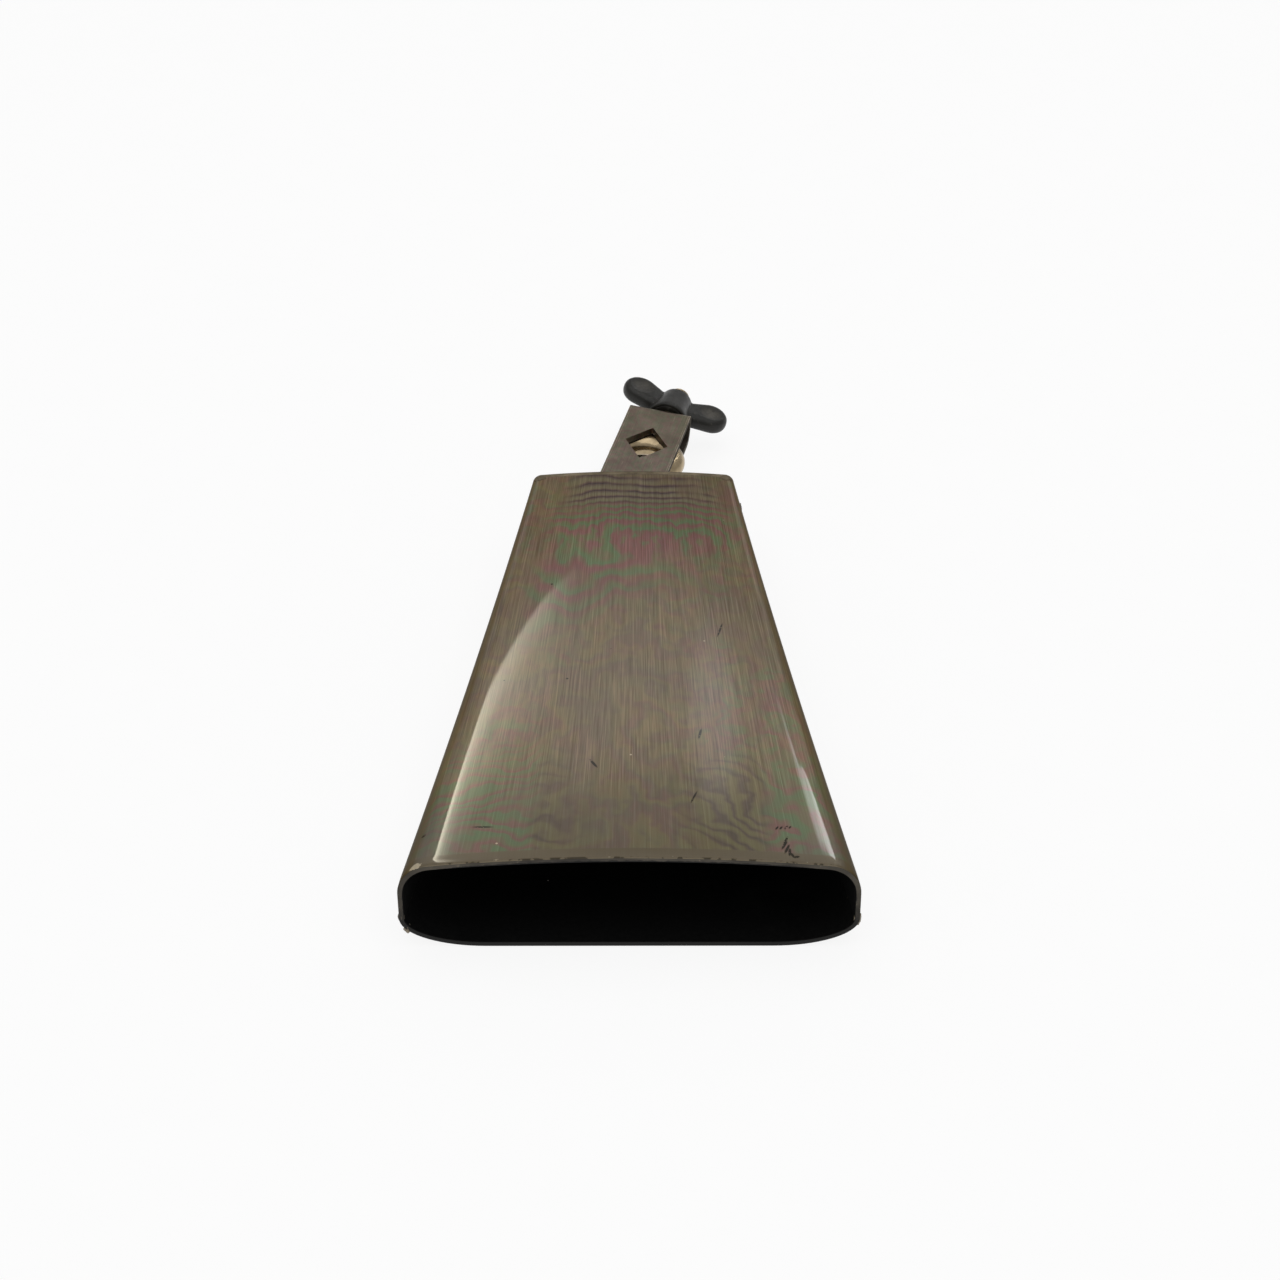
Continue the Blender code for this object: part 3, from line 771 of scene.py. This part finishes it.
def upper_outline(y, inset):
    """Points from the right wall's foot, over the crown, to the left wall's foot."""
    half = half_width(y)
    top = between(mouth_height, end_height, y)
    shoulder = between(mouth_shoulder, end_shoulder, y)
    sag = between(mouth_crown, end_crown, y)
    flat_half = half - shoulder
    crown_inner = (flat_half**2 + sag**2) / (2 * sag)
    tilt = asin(flat_half / crown_inner)
    shoulder_z = top - shoulder - sag
    shoulder_radius = shoulder - inset
    crown_radius = crown_inner + shoulder_radius
    crown_z = top - shoulder - crown_inner
    right = [(half - inset, z) for z in even(seam_height, shoulder_z, wall_steps)[:-1]]
    right += arc((flat_half, shoulder_z), shoulder_radius, 0, pi / 2 - tilt, shoulder_steps)[:-1]
    crown = arc((0, crown_z), crown_radius, pi / 2 - tilt, pi / 2 + tilt, crown_steps)
    left = [(-x, z) for x, z in reversed(right)]
    return right + crown + left


def lower_outline(y, inset):
    """Points from the left edge, down the dished corner and over the flat, to the right edge."""
    half = half_width(y)
    run = between(mouth_lower_run, end_lower_run, y)
    flat_half = half - run
    drop = lower_rise - inset
    start = asin(max(lower_rise - seam_height, 0) / drop)
    left = []
    for angle in even(start, pi / 2, corner_steps):
        x = flat_half + (run - inset) * cos(angle)
        left.append((-x, lower_rise - drop * sin(angle)))
    right = [(-x, z) for x, z in reversed(left)]
    flat = [(x, lower_rise - drop) for x in even(-flat_half, flat_half, corner_steps)[1:-1]]
    return left + flat + right


def section(y, inset):
    """The whole outline of the bell at one place along it."""
    return [(x, y, z) for x, z in upper_outline(y, inset) + lower_outline(y, inset)[1:-1]]


def shell_rows():
    """The shells' sections: crowded over the mouth's lip, then even steps to the end plate."""
    rows = []
    for share in even(0, 1, lip_rows)[:-1]:
        rows.append((mouth_y + lip_width * share, lip_inset * (1 - share) ** 2))
    return rows + [(y, 0) for y in even(lip_y, plate_y, length_rows)]


def loft(rows):
    """A skin through rows of points. Its UV runs evenly across and in metres along the bell."""
    form = bmesh.new()
    surface = form.loops.layers.uv.new("surface")
    lines = [[form.verts.new(point) for point in row] for row in rows]
    shares = []
    for row in rows:
        lengths = [0]
        for first, second in zip(row, row[1:]):
            lengths.append(lengths[-1] + (Vector(second) - Vector(first)).length)
        shares.append([length / lengths[-1] * mouth_width for length in lengths])
    for index in range(len(rows) - 1):
        for column in range(len(rows[0]) - 1):
            corners = [(index + up, column + on) for up, on in ((0, 0), (1, 0), (1, 1), (0, 1))]
            face = form.faces.new([lines[row][spot] for row, spot in corners])
            for loop, (row, spot) in zip(face.loops, corners):
                loop[surface].uv = (shares[row][spot], rows[row][spot][1])
    return form


def add_shell(name, outline, node):
    rows = [[(x, y, z) for x, z in outline(y, inset)] for y, inset in shell_rows()]
    mesh = mesh_from(name, loft(rows), outward=False)
    looks = (outside_look, inside_look, rim_look)
    shell = add_piece(name, mesh, looks, "bell", "bell_steel", node)
    thicken = shell.modifiers.new("sheet", "SOLIDIFY")
    thicken.thickness = sheet
    thicken.use_even_offset = True
    thicken.material_offset = looks.index(inside_look)
    thicken.material_offset_rim = looks.index(rim_look)
    soften(shell, sheet_edge, radians(55), 2)


def add_end_cap():
    """The end plate, drawn on from the shells, with a rounded edge all round."""
    looks = (outside_look, inside_look, dressed_look)
    stations = [(plate_y, sheet), (plate_y, 0)]
    for angle in even(0, pi / 2, end_edge_steps):
        y = end_y - end_plate_edge + end_plate_edge * sin(angle)
        stations.append((y, end_plate_edge - end_plate_edge * cos(angle)))
    form = bmesh.new()
    surface = form.loops.layers.uv.new("surface")
    rings = skin(form, [section(y, inset) for y, inset in stations])
    for face in form.faces:
        face.material_index = looks.index(dressed_look)
    form.faces.new(rings[-1])
    inner = form.faces.new(rings[0][::-1])
    inner.material_index = looks.index(inside_look)
    for face in form.faces:
        for loop in face.loops:
            loop[surface].uv = (loop.vert.co.x, loop.vert.co.z)
    mesh = mesh_from("bell_end_cap", form)
    keep_flats(add_piece("bell_end_cap", mesh, looks, "bell", "bell_steel", "end_plate"))


# Welds


def add_bead(name, node, look, path, radius, ripple, lumps, closed=False, sides=12):
    """A weld bead along a path: ripples along it, lumps, and tapered ends on an open path."""
    ripple_depth = 0.1
    lumps_per_metre = (620, 210)
    end_size = 0.45
    end_growth = 0.3
    form = bmesh.new()
    rings = []
    run = 0
    count = len(path)
    for index, point in enumerate(path):
        point = Vector(point)
        after = Vector(path[(index + 1) % count if closed else min(index + 1, count - 1)])
        before = Vector(path[index - 1 if closed else max(index - 1, 0)])
        along = (after - before).normalized()
        side = along.cross(Vector((0, 0, 1)))
        if side.length < 0.1:
            side = Vector((1, 0, 0))
        side.normalize()
        over = side.cross(along)
        run += (point - before).length
        wave = 1 + ripple_depth * cos(2 * pi * run / ripple)
        taper = 1 if closed else min(1, end_size + end_growth * min(index, count - 1 - index))
        ring = []
        for angle in around(sides):
            way = side * cos(angle) + over * sin(angle)
            spot = point + way * radius
            lump = sum(noise.noise(spot * scale) * lumps for scale in lumps_per_metre)
            ring.append(point + way * radius * (wave + lump) * taper)
        rings.append(ring)
    skin(form, rings, closed, not closed)
    add_piece(name, mesh_from(name, form), (look,), "bell", "weld_steel", node)


def seam_path(side):
    sway_size = 0.0003
    sway_scale = 160
    sway_seed = 3
    points_per_ripple = 4
    first = mouth_y + seam_start
    steps = round((plate_y - first) / seam_ripple * points_per_ripple)
    path = []
    for y in even(first, plate_y, steps):
        sway = sway_size * noise.noise(Vector((side, y * sway_scale, sway_seed)))
        x = half_width(y) + seam_bead_proud - seam_bead_radius
        path.append((side * x, y, seam_height + sway))
    return path


def fillet_path(side):
    """Where the strap's outer face meets the end plate."""
    sway_size = 0.0002
    sway_scale = 300
    sway_seed = 7
    z = side * (bracket_height / 2 + fillet_offset)
    half = strap_width / 2 - fillet_end_gap
    row = bracket_place[1]
    path = []
    for x in even(-half, half, fillet_steps):
        sway = sway_size * noise.noise(Vector((x * sway_scale, side, sway_seed)))
        y = (end_y + fillet_offset + sway - row[3] - row[0] * x - row[2] * z) / row[1]
        path.append(bracket_place @ Vector((x, y, z)))
    return path


def add_blob(name, centre, size, seed, look):
    """A rounded lump of weld metal."""
    coarse_depth = 0.35
    coarse_scale = 1.6
    fine_depth = 0.12
    fine_scale = 5
    form = bmesh.new()
    bmesh.ops.create_icosphere(form, subdivisions=4, radius=1)
    for vert in form.verts:
        lump = 1 + coarse_depth * noise.noise(vert.co * coarse_scale + Vector((seed, 0, 0)))
        lump += fine_depth * noise.noise(vert.co * fine_scale + Vector((0, seed, 0)))
        vert.co = Vector(centre) + Vector(tuple(a * b for a, b in zip(vert.co * lump, size)))
    add_piece(name, mesh_from(name, form), (look,), "bell", "weld_steel")


def add_welds():
    for node, side in (("left_seam_weld", -1), ("right_seam_weld", 1)):
        shape = (seam_path(side), seam_bead_radius, seam_ripple, seam_lumps)
        add_bead(node + "_bead", node, weld_look, *shape)
    path = section(plate_y - end_bead_setback, end_bead_radius + end_bead_inset)
    shape = (path, end_bead_radius, end_ripple, end_lumps)
    add_bead("end_seam_bead", "end_seam_weld", dressed_look, *shape, closed=True)
    for node, side in (("bracket_weld_upper", 1), ("bracket_weld_lower", -1)):
        shape = (fillet_path(side), fillet_bead_radius, fillet_ripple, fillet_lumps)
        add_bead(node + "_bead", node, weld_look, *shape, sides=16)

    rim_x = half_width(mouth_y) - sheet / 2 - lip_inset
    rim_y = mouth_y + 0.0009
    corner_x = half_width(end_y) - 0.0032
    corner_y = 0.1056
    corner_z = end_height - end_crown - 0.0006
    corner_size = (0.0023, 0.0018, 0.0011)
    drip_y = 0.0925
    drip_x = half_width(drip_y)
    # Name, centre, half sizes, seed and look
    for blob in (
        ("left_rim_spatter", (-rim_x, rim_y, 0.011), (0.0009, 0.0009, 0.0021), 1, weld_look),
        ("left_rim_lump", (0.0016 - rim_x, rim_y, 0.0064), (0.0012, 0.001, 0.0016), 2.5, weld_look),
        ("right_rim_spatter", (rim_x, rim_y, 0.0102), (0.001, 0.0009, 0.0024), 4, weld_look),
        ("left_corner_weld", (-corner_x, corner_y, corner_z), corner_size, 5, dressed_look),
        ("right_corner_weld", (corner_x, corner_y, corner_z), corner_size, 8, dressed_look),
        ("right_wall_drip", (drip_x, drip_y, 0.0245), (0.0005, 0.0042, 0.0008), 6, weld_look),
    ):
        add_blob(*blob)


# Bracket


def circle(radius, sides=48):
    return [(radius * cos(angle), radius * sin(angle)) for angle in around(sides)]


def strap_outline(tail):
    """The folded strap seen from its side: along the bracket's y, then up its z."""
    half = bracket_height / 2
    outer = strap_bend + strap_thickness
    upper = (far_reach - outer, half - outer)
    lower = (far_reach - outer, outer - half)
    quarter = pi / 2
    outside = arc(upper, outer, quarter, 0) + arc(lower, outer, 0, -quarter)
    inside = arc(lower, strap_bend, -quarter, 0) + arc(upper, strap_bend, 0, quarter)
    inner = half - strap_thickness
    return outside + [(-tail, -half), (-tail, -inner)] + inside + [(-tail, inner), (-tail, half)]


def diamond_outline(half_x, half_y, corner):
    """A diamond with a small round at each corner."""
    points = []
    for turn in range(4):
        angle = pi / 2 * turn
        tip = half_x if turn % 2 == 0 else half_y
        spread = atan2(half_y, half_x) if turn % 2 else atan2(half_x, half_y)
        inward = tip - corner / sin(pi / 2 - spread)
        centre = (inward * cos(angle), inward * sin(angle))
        points += arc(centre, corner, angle - spread, angle + spread, 4)
    return points


def prism(name, outline, low, high, place=None):
    """A closed prism over an outline of x and y points."""
    form = bmesh.new()
    skin(form, [[(x, y, z) for x, y in outline] for z in (low, high)], capped=True)
    if place:
        bmesh.ops.transform(form, matrix=place, verts=form.verts)
    return mesh_from(name, form, smooth=False)


def cut_away(item, mesh):
    """An object minus a mesh, applied at once so that no helper stays in the scene."""
    cutter = new_object(mesh.name, mesh)
    step = item.modifiers.new("cut", "BOOLEAN")
    step.solver = "EXACT"
    step.object = cutter
    bpy.context.view_layer.update()
    solved = item.evaluated_get(bpy.context.evaluated_depsgraph_get())
    result = bpy.data.meshes.new_from_object(solved)
    item.modifiers.clear()
    item.data = result
    bpy.data.objects.remove(cutter, do_unlink=True)


def add_bracket():
    tail = hole_reach + strap_width
    through = 0.05
    far_through = 0.006
    beyond = 0.1
    half = strap_width / 2
    along = Euler((pi / 2, 0, pi / 2)).to_matrix().to_4x4()
    maker = new_object("strap_maker", prism("mounting_strap", strap_outline(tail), -half, half, along))
    diamond = diamond_outline(hole_half_width, hole_half_length, hole_corner)
    cut_away(maker, prism("diamond_hole", diamond, -through, through))
    hole_x = bolt_offset + far_reach * sin(bolt_skew)
    turned = Matrix.Translation((hole_x, 0, 0)) @ z_to_y
    span = (far_reach - far_through, far_reach + far_through)
    cut_away(maker, prism("bolt_hole", circle(bolt_hole_radius), *span, turned))
    # The strap's tail is cut just clear of the end plate
    mitre_y = end_y + mitre_gap
    square = [(-beyond, -beyond), (beyond, -beyond), (beyond, mitre_y), (-beyond, mitre_y)]
    cut_away(maker, prism("end_mitre", square, -beyond, beyond, bracket_place.inverted()))
    mesh = maker.data
    bpy.data.objects.remove(maker, do_unlink=True)
    mesh.name = "mounting_strap"
    mesh.shade_smooth()
    facts = ("bell", "bracket_steel", "mounting_bracket", bracket_place)
    soften(add_piece("mounting_strap", mesh, (bracket_look,), *facts), strap_edge)


# Eye bolt


def add_eye():
    """A forged eye that runs into its shank through a short neck."""
    stock = eye_stock / 2
    ring_radius = eye_bore / 2 + stock
    snug = 0.98
    form = bmesh.new()
    rings = []
    for angle in around(eye_steps):
        ring = []
        for turn in around(eye_sides):
            reach = ring_radius + stock * cos(turn)
            ring.append((reach * cos(angle), reach * sin(angle), stock * sin(turn)))
        rings.append(ring)
    skin(form, rings, closed=True)
    depth = stock + neck_length
    bmesh.ops.create_cone(
        form, cap_ends=True, segments=32, radius1=stock * snug, radius2=bolt_radius * snug,
        depth=depth, matrix=Matrix.Translation((0, ring_radius + depth / 2, 0)) @ z_to_y,
    )
    facts = ("eye_bolt", "plated_steel", "eye_bolt", eye_place)
    melt(add_piece("eye", mesh_from("eye", form), (bolt_look,), *facts), eye_voxel, 8)


def thread_radius(turn):
    """The thread's radius at a share of its pitch: a flat crest, straight flanks, a flat root."""
    crest = 0.14
    flank = 0.68
    wave = abs(2 * (turn % 1) - 1)
    return bolt_radius - thread_depth * min(max((wave - crest) / flank, 0), 1)


def add_thread():
    """The shank's rolled thread, a helix from the neck to the chamfered end."""
    first = eye_bore / 2 + eye_stock + thread_start
    last = bolt_end - eye_rest - thread_end_gap
    steps = round((last - first) / thread_pitch * thread_rows_per_turn)
    form = bmesh.new()
    rings = []
    for y in even(first, last, steps):
        limit = bolt_radius - max(0, thread_chamfer - (last - y))
        ring = []
        for side in range(thread_sides):
            turn = side / thread_sides
            radius = min(thread_radius(y / thread_pitch + turn), limit)
            angle = 2 * pi * turn
            ring.append((radius * cos(angle), y, radius * sin(angle)))
        rings.append(ring)
    skin(form, rings, capped=True)
    mesh = mesh_from("bolt_thread", form)
    mesh.set_sharp_from_angle(angle=radians(55))
    add_piece("bolt_thread", mesh, (bolt_look,), "eye_bolt", "plated_steel", None, eye_place)


# Wing nut


def cad_copy(node):
    """A copy of a CAD node's mesh, in the nut's frame."""
    form = bmesh.new()
    form.from_mesh(nodes[node].data)
    to_nut = nut_place.inverted() @ nodes[node].matrix_world
    bmesh.ops.transform(form, matrix=to_nut, verts=form.verts)
    bmesh.ops.remove_doubles(form, verts=form.verts, dist=0.00001)
    return form


def base_ring():
    """A thin ring that covers the bush at the nut's base."""
    outer = bush_radius + 0.0006
    inner = bolt_radius + 0.0005
    top = bush_recess - 0.0001
    form = bmesh.new()
    rings = []
    for radius, z in ((outer, 0), (inner, 0), (inner, top), (outer, top)):
        rings.append([(x, y, z) for x, y in circle(radius)])
    skin(form, rings, closed=True)
    return form


def add_nut_piece(name, form, look, slot, node=None):
    return add_piece(name, mesh_from(name, form), (look,), "wing_nut", slot, node, nut_place)


def add_nut():
    body = add_nut_piece("wing_nut_body", cad_copy("wing_nut"), nut_look, "black_plastic", "wing_nut")
    melt(body, nut_voxel, 10)
    form = cad_copy("wing_nut_insert")
    for vert in form.verts:
        vert.co.z = max(vert.co.z, bush_recess)
    bush = add_nut_piece("nut_bush", form, insert_look, "insert_steel", "wing_nut_insert")
    soften(bush, bush_edge)
    soften(add_nut_piece("nut_base_ring", base_ring(), nut_look, "black_plastic"), bush_edge)


add_shell("bell_upper", upper_outline, "upper_shell")
add_shell("bell_lower", lower_outline, "lower_shell")
add_end_cap()
add_welds()
add_bracket()
add_eye()
add_thread()
add_nut()


# Stage


def add_floor():
    """A white floor that shows white to the camera and in gloss, and keeps a soft shadow."""
    radius = 9
    shown_white = 0.88
    form = bmesh.new()
    bmesh.ops.create_circle(form, cap_ends=True, segments=96, radius=radius)
    floor = new_object("floor", mesh_from("floor", form, smooth=False))
    floor.location.z = -0.0002
    look = Look("floor_white")
    paint = look.ramp(look.clouds(60, 3), (0.3, grey(0.92)), (0.7, grey(0.95)))
    look.set(Base_Color=paint, Roughness=0.9)
    ray = look.add("LightPath").outputs
    seen = look.plus(ray["Is Camera Ray"], look.plus(ray["Is Glossy Ray"], ray["Is Transmission Ray"]))
    share = look.times(look.math("MINIMUM", seen, 1), shown_white)
    both = {0: share, 1: look.shader.outputs[0], 2: look.glow(white, 1)}
    look.show(look.add("MixShader", both).outputs[0])
    floor.data.materials.append(look.material)


def round_edge(look):
    """The share of the warm glow on the light wall, along a round edge on its left."""
    radius = 0.43
    out = look.distance(look.place, (-0.104, 0.216, 0))
    inside = look.fade(out, radius + 0.006, radius - 0.006)
    band = look.fade(look.y, -0.12, 0.1, radius * 0.5, radius * 0.8)
    soft_part = look.times(look.fade(out, band, radius), 0.62)
    thin_part = look.math("POWER", look.fade(out, radius - 0.07, radius), 2)
    thin_part = look.times(thin_part, look.fade(look.y, -0.16, 0, 0.65, 2.2))
    edge = look.times(inside, look.plus(soft_part, thin_part))
    return look.times(edge, look.times(look.fade(look.x, -0.12, -0.36), look.fade(look.y, 0.45, 0.2)))


# Soft spots on the light wall: centre, half width, half height and strength
wall_spots = (
    ((0, -0.31), 0.75, 0.26, -0.38), ((0.05, 0.2), 0.6, 0.24, -0.4),
    ((-0.06, -0.08), 0.55, 0.25, 0.5), ((0.19, -0.03), 0.09, 0.16, 0.9),
)


def wall_level(look):
    """The light wall's white glow: the room's level, soft spots and a bent strip on the right."""
    level = world_level
    for centre, across, up, strength in wall_spots:
        spot = look.fade(look.mark(centre, across, up), 0, 0.75)
        level = look.plus(look.times(spot, strength), level)
    falling = look.plus(look.x, look.y, 1.633)
    rising = look.plus(look.x, look.y, -0.7)
    steeper = look.plus(look.x, look.y, -0.95)
    strip = look.times(look.fade(rising, 0.398, 0.44), look.fade(falling, 0.58, 0.5))
    ends = look.larger(look.fade(falling, 0.33, 0.35), look.fade(steeper, 0.461, 0.455))
    inner = look.fade(look.x, 0.31, 0.44, 0, 3.6)
    strength = look.plus(inner, look.fade(look.x, 0.46, 0.62, 0, 1.8))
    return look.plus(look.times(strip, ends, strength), level)


def add_light_wall():
    """A glowing wall behind the bell, which the camera does not see."""
    half_across = 0.9
    half_up = 0.6
    warm = (1, 0.93, 0.74, 1)
    warm_strength = 3.6
    form = bmesh.new()
    bmesh.ops.create_grid(form, x_segments=1, y_segments=1, size=1)
    bmesh.ops.scale(form, vec=(half_across, half_up, 1), verts=form.verts)
    panel = new_object("softbox", mesh_from("softbox", form, smooth=False))
    panel.location = (0, 1.6, 1.2)
    panel.rotation_euler.x = pi / 2
    panel.visible_camera = False
    look = Look("softbox_glow")
    edge_glow = look.glow(warm, look.times(round_edge(look), warm_strength))
    plain_glow = look.glow(white, wall_level(look))
    look.show(look.add("AddShader", {0: edge_glow, 1: plain_glow}).outputs[0])
    panel.data.materials.append(look.material)


def add_overhead():
    lamp = bpy.data.lights.new("overhead", "AREA")
    lamp.size = 2.6
    lamp.energy = 20
    item = new_object("overhead", lamp)
    item.location = (0, -0.1, 2)
    to_bell = Vector() - item.location
    item.rotation_euler = to_bell.to_track_quat("-Z", "Y").to_euler()


def add_world():
    world = bpy.data.worlds.new("studio")
    world.use_nodes = True
    backdrop = world.node_tree.nodes["Background"]
    backdrop.inputs["Color"].default_value = white
    backdrop.inputs["Strength"].default_value = world_level
    bpy.context.scene.world = world


def add_camera():
    camera = bpy.data.cameras.new("camera")
    camera.lens = camera_lens
    camera.clip_start = 0.01
    item = new_object("camera", camera)
    place = Matrix.Translation(camera_place)
    for degrees, axis in camera_turns:
        place = place @ Matrix.Rotation(radians(degrees), 4, axis)
    item.matrix_world = place
    bpy.context.scene.camera = item


add_floor()
add_world()
add_light_wall()
add_overhead()
add_camera()
bpy.context.scene.view_settings.view_transform = "Standard"
